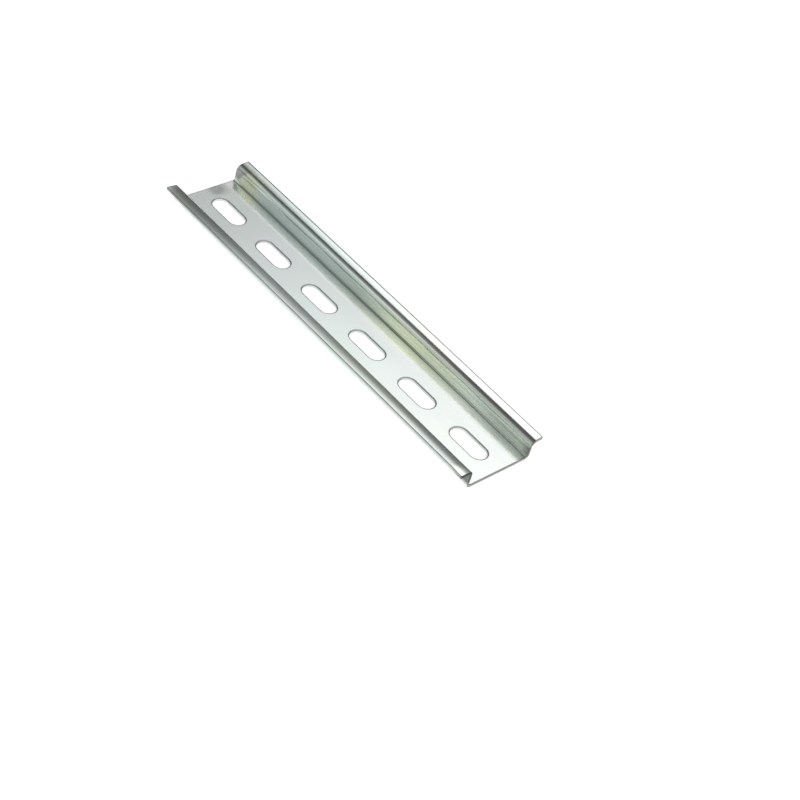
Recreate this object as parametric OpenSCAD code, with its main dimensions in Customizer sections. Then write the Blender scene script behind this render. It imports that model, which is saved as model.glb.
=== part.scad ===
// Slotted top-hat mounting rail, 35 mm wide and 7.5 mm high, roll formed from
// one 1 mm strip of zinc-plated steel and cut to length.
// The rail lies on the back of its web, with its open side up. X runs along the
// rail, Y across it, Z up. The origin is in the middle of the underside.

/* [Section] */
// Overall width across the two lips
rail_w = 35; // [33:0.1:45]
// Height from the back of the web to the top of the lips
rail_h = 7.5; // [6:0.1:15]
// Thickness of the strip
sheet_t = 1; // [0.8:0.05:1.5]
// Clear width of the channel between the two side walls
channel_w = 25; // [20:0.1:26]
// Inside radius of the four bends
bend_r = 0.8; // [0.4:0.05:1.2]
// Rounding of the long edges of the lips, left by slitting the strip
edge_r = 0.2; // [0.05:0.01:0.35]

/* [Length] */
// Length of the cut piece
rail_l = 152.4; // [150:0.1:170]

/* [Slots] */
// Number of slots
slot_n = 6; // [1:1:6]
// Distance from one slot's centre to the next
slot_pitch = 25; // [20:0.5:25]
// End-to-end length of a slot
slot_l = 15; // [10:0.1:18]
// Width of a slot
slot_w = 6.2; // [4:0.1:8]

/* [Hidden] */
$fn = 96;
over = 1;                                // how far cutters run past a face
out_r = bend_r + sheet_t;                // outside radius of a bend
low_y = channel_w / 2 - bend_r;          // centre of the lower bend
low_z = out_r;
top_y = channel_w / 2 + out_r;           // centre of the upper bend
top_z = rail_h - out_r;

// Quarter ring of sheet thickness: one bend of the strip. sy and sz pick the quarter.
module bend(y, z, sy, sz) {
    translate([y, z])
        intersection() {
            difference() {
                circle(r = out_r);
                circle(r = bend_r);
            }
            translate([sy > 0 ? 0 : -2 * out_r, sz > 0 ? 0 : -2 * out_r])
                square(2 * out_r);
        }
}

// Flat part of a lip, with its free edge rounded at both corners.
module lip_flat() {
    flat_end = rail_w / 2 - edge_r;
    translate([top_y, rail_h - sheet_t])
        square([flat_end - top_y, sheet_t]);
    translate([flat_end, rail_h - sheet_t + edge_r])
        square([edge_r, sheet_t - 2 * edge_r]);
    for (z = [rail_h - edge_r, rail_h - sheet_t + edge_r])
        translate([flat_end, z])
            circle(r = edge_r);
}

// Half of the section, from the middle of the web out to the lip's edge.
module half_section() {
    square([low_y, sheet_t]);
    bend(low_y, low_z, 1, -1);
    translate([channel_w / 2, low_z])
        square([sheet_t, top_z - low_z]);
    bend(top_y, top_z, -1, 1);
    lip_flat();
}

// Whole section of the strip, drawn in the Y-Z plane.
module section() {
    half_section();
    mirror([1, 0]) half_section();
}

// Straight length of rail, before the slots are punched.
module strip() {
    rotate([90, 0, 90])
        translate([0, 0, -rail_l / 2])
            linear_extrude(height = rail_l)
                section();
}

// Cutter for one slot with round ends, centred on the origin.
module slot_cutter(l, w) {
    reach = (l - w) / 2;
    translate([-reach, -w / 2, -over])
        cube([2 * reach, w, sheet_t + 2 * over]);
    for (x = [-reach, reach])
        translate([x, 0, -over])
            cylinder(h = sheet_t + 2 * over, r = w / 2);
}

module rail() {
    color([0.78, 0.80, 0.78])
        difference() {
            strip();
            for (i = [0 : slot_n - 1])
                translate([(i - (slot_n - 1) / 2) * slot_pitch, 0, 0])
                    slot_cutter(slot_l, slot_w);
        }
}

rail();
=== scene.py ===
import math

import bpy
import numpy as np
from mathutils import Matrix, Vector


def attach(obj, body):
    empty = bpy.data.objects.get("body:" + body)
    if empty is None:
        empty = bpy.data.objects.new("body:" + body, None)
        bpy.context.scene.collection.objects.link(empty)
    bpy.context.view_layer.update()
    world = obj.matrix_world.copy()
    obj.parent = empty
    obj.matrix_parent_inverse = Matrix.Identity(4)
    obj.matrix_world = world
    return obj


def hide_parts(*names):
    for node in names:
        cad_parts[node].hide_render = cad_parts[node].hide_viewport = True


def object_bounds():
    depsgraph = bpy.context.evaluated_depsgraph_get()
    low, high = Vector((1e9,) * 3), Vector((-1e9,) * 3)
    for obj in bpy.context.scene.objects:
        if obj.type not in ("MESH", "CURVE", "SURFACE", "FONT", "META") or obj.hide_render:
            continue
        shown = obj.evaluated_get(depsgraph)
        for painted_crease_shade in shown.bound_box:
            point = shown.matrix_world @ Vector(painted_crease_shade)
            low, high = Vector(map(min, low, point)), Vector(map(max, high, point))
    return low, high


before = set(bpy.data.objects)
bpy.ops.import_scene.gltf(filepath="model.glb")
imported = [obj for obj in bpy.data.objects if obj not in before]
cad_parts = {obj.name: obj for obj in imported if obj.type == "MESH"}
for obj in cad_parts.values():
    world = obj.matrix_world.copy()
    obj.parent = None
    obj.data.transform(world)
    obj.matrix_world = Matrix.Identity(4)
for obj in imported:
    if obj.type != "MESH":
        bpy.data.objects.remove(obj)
cad_lo, cad_hi = [list(v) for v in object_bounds()]
scene = bpy.context.scene

# ---------------------------------------------------------------- camera
# Square picture, level with nothing: the view looks down on the rail from the
# near end of its left-hand lip, with a long lens.
LOOK = np.array([
    [0.6368573989565005, 0.7404016874736512, 0.214983707709517],
    [0.6205058032322937, -0.32673208996433056, -0.7128945851544863],
    [-0.4575862777109988, 0.58741082946581, -0.6675052927706882]])
EYE = np.array([0.2968128670808505, -0.3401977419008027, 0.3794924481566506])
cam_data = bpy.data.cameras.new("camera")
cam_data.sensor_fit = "HORIZONTAL"
cam_data.sensor_width = 36.0
cam_data.lens = 1808.616 / 800 * 36
cam_data.clip_start, cam_data.clip_end = 0.01, 20
cam = bpy.data.objects.new("camera", cam_data)
scene.collection.objects.link(cam)
turn = np.column_stack([LOOK[0], -LOOK[1], -LOOK[2]])
cam.matrix_world = Matrix([[*turn[i], EYE[i]] for i in range(3)] + [[0, 0, 0, 1]])
scene.camera = cam

# ---------------------------------------------------------------- the rail's sizes, mm
LEN = (cad_hi[0] - cad_lo[0]) * 1000
WIDE = (cad_hi[1] - cad_lo[1]) * 1000
HIGH = (cad_hi[2] - cad_lo[2]) * 1000
T = 1.0                     # thickness of the strip
CHANNEL = 25.0              # clear width between the walls
R_LOW = 0.8                 # inside radius of the lower bends
R_TOP = (0.38, 1.6)         # inside radii of the upper bends, left and right
LIP_A = ((9.0, -0.5, 1.0), (9.0, 0.0, 0.8))   # rise of each lip where its bend ends and at its edge, degrees, and how it eases
SLOTS, PITCH, SLOT_L, SLOT_W = 6, 25.0, 15.0, 6.2
NIP = (5.0, 4.0, 0.22)      # the left lip's pressed near end: where it starts, how long it takes, how far down
BACK = 0.45                 # how far the flat grid stops short of an edge


# ---------------------------------------------------------------- section
def half_path(wall, lip, r_top, lip_a):
    """Mid-line of half the section as a table of arc length, y, z and heading."""
    low, top = R_LOW + T / 2, r_top + T / 2
    a0, a1 = [math.radians(q) for q in lip_a[:2]]
    web = CHANNEL / 2 - R_LOW
    ends = np.cumsum([web, low * math.pi / 2, wall, top * (math.pi / 2 - a0), lip])
    s = np.linspace(0, ends[-1], 2400)
    a = np.zeros_like(s)
    a = np.where(s > ends[0], np.minimum((s - ends[0]) / low, math.pi / 2), a)
    a = np.where(s > ends[2], np.maximum(math.pi / 2 - (s - ends[2]) / top, a0), a)
    f = np.clip((s - ends[3]) / lip, 0, 1)
    a = np.where(s > ends[3], a0 + (a1 - a0) * f ** lip_a[2], a)
    am = (a[1:] + a[:-1]) / 2
    step = s[1] - s[0]
    y = np.concatenate([[0], np.cumsum(np.cos(am)) * step])
    z = T / 2 + np.concatenate([[0], np.cumsum(np.sin(am)) * step])
    return s, y, z, a, ends


def settled(r_top, lip_a):
    """The same, with the wall and the lip adjusted so that width and height come out right."""
    wall, lip = 3.9, 3.2
    for _ in range(40):
        t = half_path(wall, lip, r_top, lip_a)
        wall += HIGH - (t[2] + T / 2 * np.cos(t[3])).max()
        lip += WIDE / 2 - (t[1] + T / 2 * np.abs(np.sin(t[3]))).max()
    return t


SIDE = [settled(R_TOP[k], LIP_A[k]) for k in (0, 1)]


def waves(x, s):
    """Small unevenness left by roll forming, in mm: long, shallow, never below zero."""
    out = 0.010 * np.sin(x / 21.0 + 0.7) * np.sin(s / 6.5 + 0.4)
    out += 0.005 * np.sin(x / 9.3 + 2.1 + s / 14.0)
    out += 0.002 * np.sin(s / 2.3 + 1.3 * np.sin(x / 37.0))
    return out + 0.017


def place(x, s, w):
    """Point of the strip: x along it, s across it on the mid-line, w from 0 (back) to 1 (front)."""
    q = np.abs(s)
    left = s < 0
    sg = np.where(left, -1.0, 1.0)
    y, z, a = [np.where(left, np.interp(q, SIDE[0][0], SIDE[0][k]), np.interp(q, SIDE[1][0], SIDE[1][k]))
               for k in (1, 2, 3)]
    end = np.where(left, SIDE[0][4][-1], SIDE[1][4][-1])
    h = (w - 0.5) * T
    fade = np.clip((LEN / 2 - np.abs(x)) / 6, 0, 1) * np.clip((end - q) / 2, 0, 1)
    turned = np.clip((q - SIDE[1][4][0]) / (SIDE[1][4][1] - SIDE[1][4][0]), 0, 1)
    h = h + waves(x, s) * fade * (1 - 2 * turned * turned * (3 - 2 * turned))
    # the shear has pressed the near end of the left lip down a little
    e = SIDE[0][4]
    near = np.clip((x - (LEN / 2 - NIP[0])) / NIP[1], 0, 1)
    out = np.clip((q - e[3] + 0.4) / (e[4] - e[3] + 0.4), 0, 1)
    sink = np.where(left, NIP[2] * near * near * (3 - 2 * near) * out * (0.4 + 0.6 * out), 0.0)
    return np.stack([x, sg * (y - np.sin(a) * h), z + np.cos(a) * h - sink], -1)


def frames(x, s, w):
    """Unit vectors along the strip, across it and out of its front face."""
    e = 0.02
    tx = place(x + e, s, w) - place(x - e, s, w)
    ts = place(x, s + e, w) - place(x, s - e, w)
    tx /= np.linalg.norm(tx, axis=1)[:, None]
    ts /= np.linalg.norm(ts, axis=1)[:, None]
    n = np.cross(tx, ts)
    n /= np.linalg.norm(n, axis=1)[:, None]
    return tx, ts, n


# ---------------------------------------------------------------- flat pattern
# The strip is drawn flat, as a grid in x and s with a ring of faces round each
# slot, and place() then bends it. Each edge is closed with a rounded strip.
verts = []                   # x, s, w, and the normal's parts along x, s and w
edge_tag = []                # 0 on the faces, 1 on a cut edge
quads = []


def add(x, s, w, nx=0.0, ns=0.0, nw=1.0, tag=0.0):
    verts.append((x, s, w, nx, ns, nw))
    edge_tag.append(tag)
    return len(verts) - 1


def spaced(a, b, n):
    return [a + (b - a) * i / n for i in range(n + 1)]


BX, BS, NX, NS = 10.0, 6.0, 28, 12          # half size of the block round a slot, and its divisions
centres = [(i - (SLOTS - 1) / 2) * PITCH for i in range(SLOTS)]
xs = []
edge_x = LEN / 2 - BACK
prev = -edge_x
for c in centres:
    n = max(2, round((c - BX - prev) / 1.3))
    xs += spaced(prev, c - BX, n)[:-1] + spaced(c - BX, c + BX, NX)[:-1]
    prev = c + BX
xs += spaced(prev, edge_x, max(8, round((edge_x - prev) / 1.3)))
across = []
for e in (SIDE[0][4], SIDE[1][4]):
    across.append(spaced(BS, e[0], 6)[:-1] + spaced(e[0], e[1], 12)[:-1] + spaced(e[1], e[2], 8)[:-1]
                  + spaced(e[2], e[3], 18)[:-1] + spaced(e[3], e[4] - BACK, 12))
ss = [-v for v in reversed(across[0])] + spaced(-BS, BS, NS)[1:-1] + across[1]
starts = [min(range(len(xs)), key=lambda i: abs(xs[i] - (c - BX))) for c in centres]
row0 = min(range(len(ss)), key=lambda j: abs(ss[j] + BS))
block = {}
for b, i0 in enumerate(starts):
    for i in range(i0, i0 + NX):
        for j in range(row0, row0 + NS):
            block[i, j] = b


def round_edge(base, path, radius_front, radius_back, sides, raw):
    """Closes an edge. base gives the grid's rim on the front and back, path the true edge as
    (x, s, outward x, outward s) one by one, the radii the rounding on each side, and raw how
    bare the metal is on the rounding and on the cut."""
    n = len(path)
    rings = []
    for k, w, out, up, tag in sides:
        ring = []
        for (x, s, ox, os_), rf, rb, (r_face, r_edge, r_cut) in zip(path, radius_front, radius_back, raw):
            r = rf if k == "f" else rb
            bare = {0.0: r_face if k == "f" else 0.0, 1.0: r_edge, 0.5: r_cut}[tag]
            inset = r * (1 - out)
            ww = (1 - r / T * (1 - up)) if k == "f" else (r / T * (1 - up))
            if w is not None:
                inset, ww = 0.0, w
            ring.append(add(x - ox * inset, s - os_ * inset, ww, ox * out, os_ * out,
                            (up if k == "f" else -up), bare))
        rings.append(ring)
    rings = [base[0]] + rings + [base[1]]
    for a, b in zip(rings, rings[1:]):
        for i in range(n):
            j = (i + 1) % n
            f = [a[i], b[i], b[j], a[j]]
            clean = [v for q, v in enumerate(f) if v != f[q - 1]]
            if len(clean) > 2:
                quads.append(clean)


def profile(nf, nb):
    """Ring by ring from the front face round the edge to the back face. The last number says
    which part of the edge it is: 0 face, 1 rounding, 0.5 the cut itself."""
    out = []
    for i in range(nf + 1):
        a = math.pi / 2 * i / nf
        out.append(("f", None, math.sin(a), math.cos(a), 0.0 if i == 0 else 1.0))
    for w in (0.58, 0.32):
        out.append(("f", w, 1.0, 0.0, 0.5))
    for i in range(nb + 1):
        a = math.pi / 2 * (1 - i / nb)
        out.append(("b", None, math.sin(a), math.cos(a), 0.0 if i == nb else 1.0))
    return out


# front and back grids
grid = {}
for side, w in (("f", 1.0), ("b", 0.0)):
    for i, x in enumerate(xs):
        for j, s in enumerate(ss):
            inside = any(i0 < i < i0 + NX for i0 in starts) and row0 < j < row0 + NS
            if not inside:
                grid[side, i, j] = add(x, s, w, 0, 0, 1.0 if side == "f" else -1.0)
    for i in range(len(xs) - 1):
        for j in range(len(ss) - 1):
            if (i, j) in block:
                continue
            f = [grid[side, i, j], grid[side, i + 1, j], grid[side, i + 1, j + 1], grid[side, i, j + 1]]
            quads.append(f if side == "f" else f[::-1])

# outer edge, counter-clockwise seen from the front; the corners are rounded in plan
nxs, nss = len(xs), len(ss)
walk = [(i, 0) for i in range(nxs)] + [(nxs - 1, j) for j in range(1, nss)]
walk += [(i, nss - 1) for i in range(nxs - 2, -1, -1)] + [(0, j) for j in range(nss - 2, 0, -1)]
path, base_f, base_b, rf, rb, raw = [], [], [], [], [], []
for i, j in walk:
    at_x = -1 if i == 0 else (1 if i == nxs - 1 else 0)
    at_s = -1 if j == 0 else (1 if j == nss - 1 else 0)
    if at_x and at_s:
        if at_x < 0 and at_s < 0:
            turns = [math.pi + math.pi / 2 * k / 6 for k in range(7)]
        elif at_x > 0 and at_s < 0:
            turns = [-math.pi / 2 + math.pi / 2 * k / 6 for k in range(7)]
        elif at_x > 0 and at_s > 0:
            turns = [math.pi / 2 * k / 6 for k in range(7)]
        else:
            turns = [math.pi / 2 + math.pi / 2 * k / 6 for k in range(7)]
    else:
        turns = [math.atan2(at_s, at_x)]
    for t in turns:
        ox, os_ = math.cos(t), math.sin(t)
        path.append((xs[i] + BACK * ox, ss[j] + BACK * os_, ox, os_))
        base_f.append(grid["f", i, j])
        base_b.append(grid["b", i, j])
        rf.append(0.24 - (0.02 if os_ > 0 else -0.10) * os_ * os_)
        rb.append(0.10 + 0.12 * os_ * os_)
        along = 0.5 - xs[i] / LEN                    # 1 at the far end, 0 at the near end
        side_face = 0.30 + 0.50 * along if os_ > 0 else 0.05
        side_edge = 0.80 if os_ > 0 else 0.55
        raw.append((0.45 + (side_face - 0.45) * os_ * os_, 0.82 + (side_edge - 0.82) * os_ * os_, 0.62 - 0.28 * os_ * os_))
round_edge((base_f, base_b), path, rf, rb, profile(5, 4), raw)

# slots
r = SLOT_W / 2
reach = SLOT_L / 2 - r


for b, (c, i0) in enumerate(zip(centres, starts)):
    rim = [(i, row0) for i in range(i0, i0 + NX)] + [(i0 + NX, j) for j in range(row0, row0 + NS)]
    rim += [(i, row0 + NS) for i in range(i0 + NX, i0, -1)] + [(i0, j) for j in range(row0 + NS, row0, -1)]
    outline = []
    quarter = math.pi / 4
    for k in range(len(rim)):
        if k < NX:                                   # lower side, left to right
            d = k / NX * (2 * reach + 2 * r * quarter)
            lead = r * quarter
            if d < lead:
                t = math.pi * 1.25 + d / r
                outline.append((c - reach + r * math.cos(t), r * math.sin(t), math.cos(t), math.sin(t)))
            elif d < lead + 2 * reach:
                outline.append((c - reach + d - lead, -r, 0.0, -1.0))
            else:
                t = -math.pi / 2 + (d - lead - 2 * reach) / r
                outline.append((c + reach + r * math.cos(t), r * math.sin(t), math.cos(t), math.sin(t)))
        elif k < NX + NS:                            # right end
            t = -quarter + 2 * quarter * (k - NX) / NS
            outline.append((c + reach + r * math.cos(t), r * math.sin(t), math.cos(t), math.sin(t)))
        elif k < 2 * NX + NS:                        # upper side, right to left
            d = (k - NX - NS) / NX * (2 * reach + 2 * r * quarter)
            lead = r * quarter
            if d < lead:
                t = quarter + d / r
                outline.append((c + reach + r * math.cos(t), r * math.sin(t), math.cos(t), math.sin(t)))
            elif d < lead + 2 * reach:
                outline.append((c + reach - (d - lead), r, 0.0, 1.0))
            else:
                t = math.pi / 2 + (d - lead - 2 * reach) / r
                outline.append((c - reach + r * math.cos(t), r * math.sin(t), math.cos(t), math.sin(t)))
        else:                                        # left end
            t = math.pi * 0.75 + 2 * quarter * (k - 2 * NX - NS) / NS
            outline.append((c - reach + r * math.cos(t), r * math.sin(t), math.cos(t), math.sin(t)))
    n = len(rim)
    bases = []
    for side, w, nw in (("f", 1.0, 1.0), ("b", 0.0, -1.0)):
        old = [grid[side, i, j] for i, j in rim]
        for f in (0.28, 0.52, 0.72, 0.87, 1.0):
            ring = []
            for (i, j), (x, s, ox, os_) in zip(rim, outline):
                ex, es = x + ox * BACK * 1.2, s + os_ * BACK * 1.2
                ring.append(add(xs[i] + (ex - xs[i]) * f, ss[j] + (es - ss[j]) * f, w, 0, 0, nw))
            for k in range(n):
                m = (k + 1) % n
                q = [old[k], old[m], ring[m], ring[k]]
                quads.append(q if side == "f" else q[::-1])
            old = ring
        bases.append(old)
    # the punched edge: the front is drawn in a little, the back is nearly sharp
    inward = [(x, s, -ox, -os_) for x, s, ox, os_ in outline]
    lit = [0.5 + 0.5 * (0.77 * os_ - 0.64 * ox) for x, s, ox, os_ in outline]     # 1 on slot edges whose cut faces turn towards the camera, painted lighter; 0 on those turned away, painted darker
    bare_and_lit_slot_edges = [(0.88 - 0.58 * k, 1.0 - 0.50 * k, 0.45 - 0.45 * k) for k in lit]
    round_edge((bases[0][::-1], bases[1][::-1]), inward[::-1], [0.36] * n, [0.05] * n, profile(5, 2), bare_and_lit_slot_edges[::-1])

v = np.array(verts)
pos = place(v[:, 0], v[:, 1], v[:, 2])
tx, ts, tn = frames(v[:, 0], v[:, 1], v[:, 2])
nor = tx * v[:, 3:4] + ts * v[:, 4:5] + tn * v[:, 5:6]
nor /= np.linalg.norm(nor, axis=1)[:, None]

mesh = bpy.data.meshes.new("rail_strip")
mesh.from_pydata([tuple(p / 1000) for p in pos], [], quads)
mesh.validate()
mesh.polygons.foreach_set("use_smooth", [True] * len(mesh.polygons))
mesh.normals_split_custom_set_from_vertices([tuple(q) for q in nor])
att = mesh.attributes.new("flat_place", "FLOAT_VECTOR", "POINT")
flat = np.stack([v[:, 0], v[:, 1], v[:, 2]], 1) / 1000
att.data.foreach_set("vector", flat.astype(np.float32).ravel())
att = mesh.attributes.new("cut_edge", "FLOAT", "POINT")
att.data.foreach_set("value", np.array(edge_tag, np.float32))
mesh.update()
rail = bpy.data.objects.new("rail_strip", mesh)
scene.collection.objects.link(rail)
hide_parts("rail")
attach(rail, "root")


# ---------------------------------------------------------------- node helpers
class Graph:
    """Short names for building a node tree."""

    def __init__(self, tree):
        self.t = tree
        tree.nodes.clear()

    def put(self, kind, **props):
        n = self.t.nodes.new(kind)
        for k, v in props.items():
            setattr(n, k, v)
        return n

    def feed(self, sock, v):
        if isinstance(v, (int, float, tuple)):
            sock.default_value = v
        else:
            self.t.links.new(v, sock)

    def math(self, op, *args):
        n = self.put("ShaderNodeMath", operation=op)
        for i, v in enumerate(args):
            self.feed(n.inputs[i], v)
        return n.outputs[0]

    def add(self, a, b):
        return self.math("ADD", a, b)

    def mul(self, a, b):
        return self.math("MULTIPLY", a, b)

    def step(self, v, lo, hi, a=0.0, b=1.0):
        """a below lo, b above hi, smooth between."""
        n = self.put("ShaderNodeMapRange", interpolation_type="SMOOTHSTEP")
        for i, q in enumerate((v, lo, hi, a, b)):
            self.feed(n.inputs[i], q)
        return n.outputs[0]

    def window(self, v, centre, half, soft, turn=False):
        """1 within half of the centre, falling smoothly to 0 over soft."""
        d = self.math("SUBTRACT", v, centre)
        if turn:
            d = self.math("WRAP", d, 180.0, -180.0)
        return self.step(self.math("ABSOLUTE", d), half - soft / 2, half + soft / 2, 1.0, 0.0)

    def blend(self, f, a, b):
        """Colour a where f is 0, b where f is 1."""
        n = self.put("ShaderNodeMix", data_type="RGBA")
        self.feed(n.inputs[0], f)
        self.feed(n.inputs[6], a)
        self.feed(n.inputs[7], b)
        return n.outputs[2]

    def shade(self, colour, f):
        """Colour times a number."""
        n = self.put("ShaderNodeVectorMath", operation="SCALE")
        self.feed(n.inputs[0], colour)
        self.feed(n.inputs[3], f)
        return n.outputs[0]

    def tint(self, a, b):
        """Colour times colour."""
        n = self.put("ShaderNodeVectorMath", operation="MULTIPLY")
        self.feed(n.inputs[0], a)
        self.feed(n.inputs[1], b)
        return n.outputs[0]

    def point(self, x, y, z):
        n = self.put("ShaderNodeCombineXYZ")
        for i, v in enumerate((x, y, z)):
            self.feed(n.inputs[i], v)
        return n.outputs[0]

    def noise(self, at, scale, detail=2.0, rough=0.5):
        """Noise around 0, about -1 to 1."""
        n = self.put("ShaderNodeTexNoise", noise_dimensions="3D")
        self.feed(n.inputs["Vector"], at)
        n.inputs["Scale"].default_value = scale
        n.inputs["Detail"].default_value = detail
        n.inputs["Roughness"].default_value = rough
        return self.mul(self.math("SUBTRACT", n.outputs[0], 0.5), 3.2)


def material(name):
    m = bpy.data.materials.new(name)
    m.use_nodes = True
    g = Graph(m.node_tree)
    out = g.put("ShaderNodeOutputMaterial")
    p = g.put("ShaderNodeBsdfPrincipled")
    g.t.links.new(p.outputs[0], out.inputs[0])
    return m, g, p


# ---------------------------------------------------------------- zinc plating
# Bright zinc with a thin passivation film: a grey-green cast that turns bluish
# and straw-coloured in soft clouds, deeper on the walls, where the film dried
# thicker. All in mm on the flat strip: X along, S across, W through it.
zinc, g, p = material("zinc_plated_steel")
here = g.put("ShaderNodeAttribute", attribute_name="flat_place")
split = g.put("ShaderNodeSeparateXYZ")
g.feed(split.inputs[0], here.outputs["Vector"])
X, S, W = [g.mul(split.outputs[i], 1000.0) for i in range(3)]
A = g.math("ABSOLUTE", S)
plane = g.point(X, S, W)
cloud = g.noise(g.shade(plane, 0.001), 55.0, 3.0, 0.55)              # 18 mm clouds
cloud2 = g.noise(g.point(g.mul(X, 0.001), g.mul(S, 0.001), 0.37), 110.0, 2.0, 0.5)
speck = g.noise(g.shade(plane, 0.001), 1900.0, 2.0, 0.6)            # half-millimetre grain
roll = g.noise(g.point(g.mul(X, 0.035), g.mul(S, 2.6), g.mul(W, 2.0)), 1.0, 3.0, 0.65)   # rolling lines along X
w0, w1, w2, w3, w4 = [float(q) for q in SIDE[1][4]]                 # web, lower bend, wall, upper bend, lip
Xc = g.add(X, g.mul(cloud2, 2.5))
right = g.step(S, 6.0, 9.0)

front = g.step(W, 0.35, 0.65)
film = g.mul(g.step(A, 11.0, w1), front)                            # how much of the wall's film
straw = g.add(g.mul(g.window(Xc, -69.0, 4.5, 9.0), 1.0), g.mul(g.window(Xc, 22.0, 22.0, 46.0), 0.95))
straw = g.add(straw, g.mul(g.step(Xc, 48.0, 62.0), 0.35))
straw = g.math("MINIMUM", g.add(straw, g.mul(cloud, 0.10)), 1.0)
straw = g.math("MAXIMUM", straw, 0.0)
web_tint = g.blend(g.step(cloud, -0.8, 0.8), (0.945, 1.0, 0.985, 1), (0.965, 1.0, 0.955, 1))
web_tint = g.blend(g.mul(g.window(Xc, -15.0, 45.0, 40.0), 0.75), web_tint, (0.915, 1.0, 0.985, 1))
# a paler tint on the strip along the right wall's foot, part of the painted reflection there
web_tint = g.blend(g.window(S, 9.6, 1.6, 1.6), web_tint, (0.985, 1.0, 0.985, 1))
wall_tint = g.blend(straw, (0.855, 1.0, 0.945, 1), (0.915, 1.0, 0.735, 1))
upper = g.step(A, w2 - 0.2, w3 + 0.6)                               # the film thins out over the upper bend
colour = g.blend(g.mul(film, g.math("SUBTRACT", 1.0, g.mul(upper, 0.85))), web_tint, wall_tint)
bend_tint = g.blend(g.window(Xc, -68.0, 8.0, 10.0), g.blend(g.step(Xc, -38.0, 22.0), (0.85, 1.0, 0.94, 1), (0.985, 1.0, 0.97, 1)), (0.91, 1.0, 0.79, 1))
colour = g.blend(g.mul(g.window(S, w2 + 2.6, 1.1, 1.2), 0.75), colour, bend_tint)
lilac = g.mul(g.window(Xc, -40.0, 9.0, 12.0), g.window(S, 1.5, 4.5, 5.0))
colour = g.blend(g.mul(lilac, 0.7), colour, (0.965, 0.985, 1.0, 1))
cream = g.mul(g.window(Xc, 12.0, 10.0, 16.0), g.window(S, 8.2, 1.6, 3.0))
colour = g.blend(g.mul(cream, 0.7), colour, (0.985, 1.0, 0.915, 1))

level = g.add(0.83, g.mul(cloud, 0.012))
level = g.add(level, g.mul(speck, 0.010))
level = g.add(level, g.mul(roll, 0.010))
on_wall = g.mul(g.step(S, w1 - 0.9, w1 + 0.2), g.step(S, w2 - 0.2, w2 + 0.9, 1.0, 0.0))
# darker patches along the right wall, to which the painted shade line below is added
wall_patches_and_shade_line = g.add(g.mul(g.window(Xc, -33.0, 37.0, 28.0), 0.43), g.mul(g.window(Xc, 28.0, 20.0, 22.0), 0.06))
wall_patches_and_shade_line = g.add(wall_patches_and_shade_line, g.mul(g.step(Xc, -72.0, -62.0, 1.0, 0.0), 0.06))
wall_patches_and_shade_line = g.add(wall_patches_and_shade_line, g.mul(g.step(Xc, 44.0, 66.0), 0.26))
# painted shade: a dark line about 2 mm up the right wall, deeper towards the near end
painted_shade_line = g.mul(g.window(A, w1 + 2.2, 0.3, 1.6), g.step(Xc, -30.0, 66.0, 0.05, 0.26))
wall_patches_and_shade_line = g.add(wall_patches_and_shade_line, painted_shade_line)
level = g.mul(level, g.math("SUBTRACT", 1.0, g.mul(on_wall, wall_patches_and_shade_line)))
along = g.step(Xc, 12.0, 46.0)                                      # painted shade in the lower bend's crease, narrower and lighter towards the near end
painted_crease_shade = g.mul(g.mul(g.window(A, (w0 + w1) / 2 + 0.06, 0.58, 0.6), 0.68), g.math("SUBTRACT", 1.0, along))
painted_crease_shade = g.add(painted_crease_shade, g.mul(g.mul(g.window(A, (w0 + w1) / 2 + 0.22, 0.36, 0.5), 0.50), along))
painted_crease_shade = g.mul(g.mul(painted_crease_shade, g.add(1.0, g.mul(roll, 0.08))), g.mul(g.step(S, -5.0, 5.0, 0.35, 1.0), g.step(X, -75.0, -71.0, 0.3, 1.0)))
level = g.mul(level, g.math("SUBTRACT", 1.0, painted_crease_shade))
# painted reflection: a brighter strip on the web along the foot of the right wall, where the wall is mirrored; the
# rest of the web is a little darker except at the far end
on_web = g.mul(g.step(A, w0 - 0.4, w0 + 0.1, 1.0, 0.0), g.math("SUBTRACT", 1.0, g.window(S, 9.5, 1.25, 1.1)))
level = g.mul(level, g.math("SUBTRACT", 1.0, g.mul(on_web, g.step(X, -75.0, -58.0, 0.0, 0.085))))
level = g.mul(level, g.add(1.0, g.mul(g.window(S, 9.5, 1.35, 1.2), 0.19)))
# painted highlight: a brighter line at the foot of the right upper bend, on the near half
level = g.mul(level, g.add(1.0, g.mul(g.window(S, w2 + 0.75, 0.35, 0.7), g.step(X, -22.0, 2.0, 0.0, 0.18))))
# painted shade in two bands up the right upper bend, deeper towards the near end
high = g.mul(g.mul(g.window(S, w2 + 1.62, 0.50, 0.6), g.step(X, -69.0, -60.0)), g.step(X, 5.0, 66.0, 0.27, 0.50))
high = g.add(high, g.mul(g.window(S, w2 + 2.35, 0.42, 0.5), g.step(X, 5.0, 66.0, 0.02, 0.44)))
level = g.mul(level, g.math("SUBTRACT", 1.0, g.math("MINIMUM", high, 0.52)))
near_end = g.math("SUBTRACT", LEN / 2, X)
# painted shade: a dark band along the left lip, deepening towards the near end, and a darker line at the foot of the
# left upper bend, deepest at the far end and absent in the last few mm of the near end
left_near = g.mul(g.window(S, -w4 + 2.6, 1.1, 1.0), g.step(X, 0.0, 68.0, 0.05, 0.34))
left_near = g.add(left_near, g.mul(g.step(near_end, 4.0, 8.0, 0.0, 1.0), g.mul(g.window(S, -w2 - 0.35, 0.35, 0.5), g.step(X, -74.0, -30.0, 0.38, 0.16))))
level = g.mul(level, g.math("SUBTRACT", 1.0, left_near))
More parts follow.
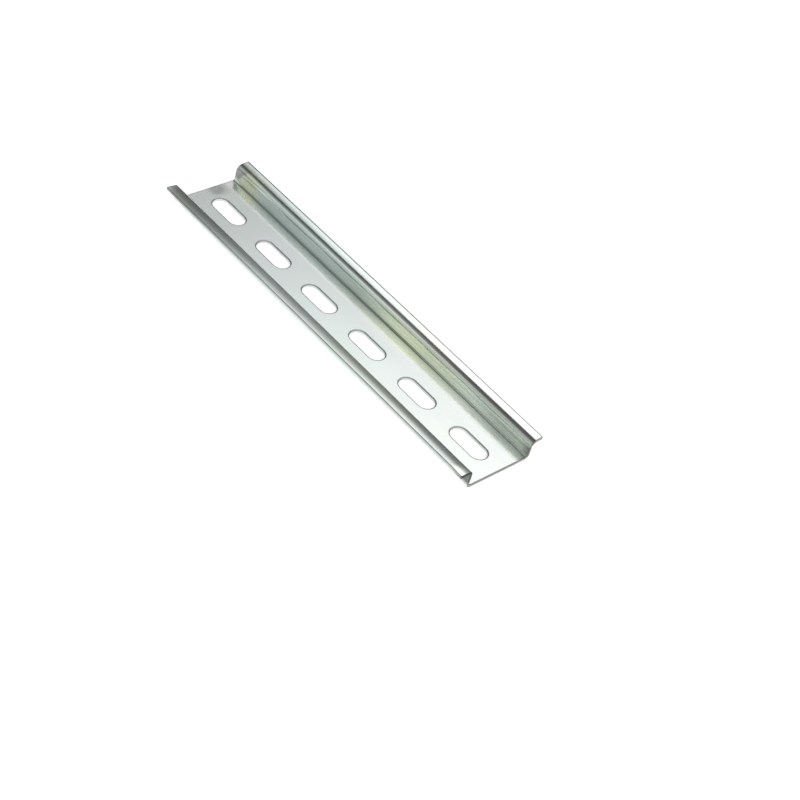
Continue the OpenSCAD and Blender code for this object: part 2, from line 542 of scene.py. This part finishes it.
# painted shade over the left upper bend and lip towards the far end, lighter in the last few mm
left_end = g.mul(g.mul(g.step(S, -w2 - 0.8, -w2, 1.0, 0.0), g.step(X, -66.0, -18.0, 0.42, 0.0)), g.step(X, -LEN / 2 + 0.5, -LEN / 2 + 3.5, 0.35, 1.0))
level = g.mul(level, g.math("SUBTRACT", 1.0, left_end))
# along the right lip's edge the plating runs thin, most of all at the far end
bare_line = g.mul(g.step(g.math("SUBTRACT", w4, S), 0.28, 0.74, 1.0, 0.0), g.step(X, -60.0, 70.0, 0.95, 0.62))
level = g.mul(level, g.math("SUBTRACT", 1.0, bare_line))

# darker far end: a wedge of painted shade up the right wall where it mirrors a shaded floor, a painted dark band at
# the foot of the right upper bend, and a rougher smudge on the web
far = g.add(g.add(X, LEN / 2), g.mul(cloud2, 0.5))                  # mm from the far end
rise = g.math("MAXIMUM", g.math("SUBTRACT", S, w1 - 1.2), 0.0)
# painted shade: widens up the right wall from its far end, paler over the upper bend, and greys the tint
painted_far_end_shade = g.mul(g.step(g.math("SUBTRACT", far, g.mul(g.math("MINIMUM", rise, 7.0), 0.68)), -0.2, 2.0, 1.0, 0.0), g.step(S, w1 - 0.4, w1 + 1.2))
painted_far_end_shade = g.mul(painted_far_end_shade, g.step(S, w2 + 0.4, w3 + 0.4, 1.0, 0.20))
level = g.mul(level, g.math("SUBTRACT", 1.0, g.mul(painted_far_end_shade, 0.62)))
colour = g.blend(g.mul(painted_far_end_shade, 0.8), colour, (0.97, 1.0, 0.97, 1))
# painted shade: a darker band at the foot of the right upper bend, strongest 5 to 6 mm from the far end
painted_band_shade = g.mul(g.mul(g.window(S, w2 + 0.8, 0.9, 1.2), g.step(far, 1.5, 5.0)), g.step(far, 6.0, 18.0, 0.42, 0.0))
level = g.mul(level, g.math("SUBTRACT", 1.0, painted_band_shade))
smudge = g.mul(g.step(far, 2.2, 6.5, 1.0, 0.0), g.window(S, 3.6, 2.8, 4.2))
smudge = g.mul(smudge, g.add(0.36, g.mul(g.noise(g.shade(plane, 0.001), 420.0, 2.0), 0.10)))
level = g.mul(level, g.math("SUBTRACT", 1.0, smudge))

near = g.math("SUBTRACT", LEN / 2, X)                               # mm from the near end
# painted shade on the right wall's last few mm at the near end
level = g.mul(level, g.math("SUBTRACT", 1.0, g.mul(g.mul(g.step(near, 0.2, 3.6, 1.0, 0.0), on_wall), 0.44)))
# painted shade on the back of the left wall and lip in the last few mm of the near end, where the space under the
# lip is in shade
painted_shade_under_lip = g.mul(g.mul(g.step(near, 1.5, 6.0, 1.0, 0.0), g.step(S, -w1 - 1.2, -w1 + 0.6, 1.0, 0.0)), g.step(W, 0.35, 0.65, 1.0, 0.0))
level = g.mul(level, g.math("SUBTRACT", 1.0, g.mul(painted_shade_under_lip, 0.74)))

cut = g.put("ShaderNodeAttribute", attribute_name="cut_edge").outputs["Fac"]
tip = g.mul(g.step(S, -w2, -w1, 1.0, 0.0), g.step(near, 0.3, 0.9, 1.0, 0.0))
cut = g.math("MINIMUM", g.mul(cut, g.add(1.0, g.mul(tip, 0.55))), 1.0)
cut_grain = g.noise(g.point(g.mul(X, 2.2), g.mul(S, 2.2), g.mul(W, 0.6)), 1.0, 2.0, 0.6)
raw_steel = g.shade((0.145, 0.140, 0.132), g.mul(g.add(1.0, g.mul(cut_grain, 0.16)), g.math("SUBTRACT", 1.0, g.mul(tip, 0.5))))
base = g.blend(cut, g.shade(colour, level), raw_steel)
g.feed(p.inputs["Base Color"], base)
p.inputs["Metallic"].default_value = 1.0
rough = g.add(0.25, g.add(g.mul(roll, 0.022), g.mul(speck, 0.012)))
rough = g.add(rough, g.add(g.mul(cut, 0.22), g.mul(smudge, 0.25)))
g.feed(p.inputs["Roughness"], rough)
bump = g.put("ShaderNodeBump")
bump.inputs["Strength"].default_value = 0.35
bump.inputs["Distance"].default_value = 0.00001
height = g.add(g.mul(roll, 0.5), g.add(g.mul(speck, 0.25), g.mul(g.mul(cut, cut_grain), 3.0)))
g.feed(bump.inputs["Height"], height)
g.feed(p.inputs["Normal"], bump.outputs[0])
rail.data.materials.append(zinc)

# ---------------------------------------------------------------- floor
fm = bpy.data.meshes.new("floor")
ring_r = [0.0, 0.1, 0.3, 0.8, 2.0, 5.0]
fv, ff = [(0, 0, -0.00004)], []
for k in ring_r[1:]:
    for i in range(48):
        a = 2 * math.pi * i / 48
        fv.append((k * math.cos(a), k * math.sin(a), -0.00004))
for i in range(48):
    ff.append((0, 1 + i, 1 + (i + 1) % 48))
for q in range(len(ring_r) - 2):
    for i in range(48):
        a, b2 = 1 + q * 48 + i, 1 + q * 48 + (i + 1) % 48
        ff.append((a, a + 48, b2 + 48, b2))
fm.from_pydata(fv, [], ff)
floor = bpy.data.objects.new("floor", fm)
scene.collection.objects.link(floor)
pale, g, p = material("pale_floor")
paper = g.noise(g.put("ShaderNodeTexCoord").outputs["Object"], 900.0, 3.0, 0.6)
g.feed(p.inputs["Base Color"], g.shade((0.92, 0.92, 0.92), g.add(1.0, g.mul(paper, 0.012))))
p.inputs["Roughness"].default_value = 0.9
p.inputs["Specular IOR Level"].default_value = 0.1
p.inputs["Emission Color"].default_value = (1, 1, 1, 1)
p.inputs["Emission Strength"].default_value = 0.55
fm.materials.append(pale)

# ---------------------------------------------------------------- light
# A white studio, open towards the far end of the rail, where it falls off to
# dark. Two soft boxes and a weak one hang in the dark part. Angles in degrees,
# azimuth from +X towards +Y, elevation above the floor.
DARK, HORIZON, ZENITH, BRIGHT = 0.05, 0.18, 0.28, 1.05
TENT = dict(az=-12, half=100, soft=40, top=55, fall=30, zenith=0.40)
BOXES = [                   # strength, azimuth, elevation, half width, half height, soft width, soft height, lean
    (1.90, 124.5, 50.0, 17.5, 11.0, 9.0, 9.0, 0.0),
    (0.66, 238.0, 10.0, 15.0, 14.0, 14.0, 10.0, 0.0),
    (1.55, 231.0, 36.0, 11.5, 8.5, 11.0, 9.0, 0.7),
    (0.60, 205.0, 46.0, 12.0, 8.0, 12.0, 9.0, 0.0),
    (0.26, 206.0, 57.0, 13.0, 7.0, 12.0, 9.0, 0.0),
]
world = bpy.data.worlds.new("studio")
scene.world = world
world.use_nodes = True
g = Graph(world.node_tree)
co = g.put("ShaderNodeTexCoord")
xyz = g.put("ShaderNodeSeparateXYZ")
g.feed(xyz.inputs[0], co.outputs["Generated"])
az = g.mul(g.math("ARCTAN2", xyz.outputs[1], xyz.outputs[0]), 180 / math.pi)
el = g.mul(g.math("ARCSINE", xyz.outputs[2]), 180 / math.pi)
tent = g.mul(g.window(az, TENT["az"], TENT["half"], TENT["soft"], True),
             g.step(el, TENT["top"] - TENT["fall"] / 2, TENT["top"] + TENT["fall"] / 2, 1.0, TENT["zenith"]))
dark = g.math("MAXIMUM", g.step(el, 28.0, 50.0, HORIZON, DARK), g.step(el, 58.0, 76.0, DARK, ZENITH))
level = g.add(dark, g.mul(tent, g.math("SUBTRACT", BRIGHT, dark)))
for power, caz, cel, hw, hh, sw, sh, lean in BOXES:
    tilted = g.add(el, g.mul(g.math("WRAP", g.math("SUBTRACT", az, caz), 180.0, -180.0), lean)) if lean else el
    m = g.mul(g.window(az, caz, hw, sw, True), g.window(tilted, cel, hh, sh))
    level = g.add(level, g.mul(m, g.math("SUBTRACT", power, level)))
bg = g.put("ShaderNodeBackground")
bg.inputs[0].default_value = (1, 1, 1, 1)
g.feed(bg.inputs[1], level)
wo = g.put("ShaderNodeOutputWorld")
g.feed(wo.inputs[0], bg.outputs[0])
scene.view_settings.view_transform = "Standard"
scene.view_settings.look = "None"
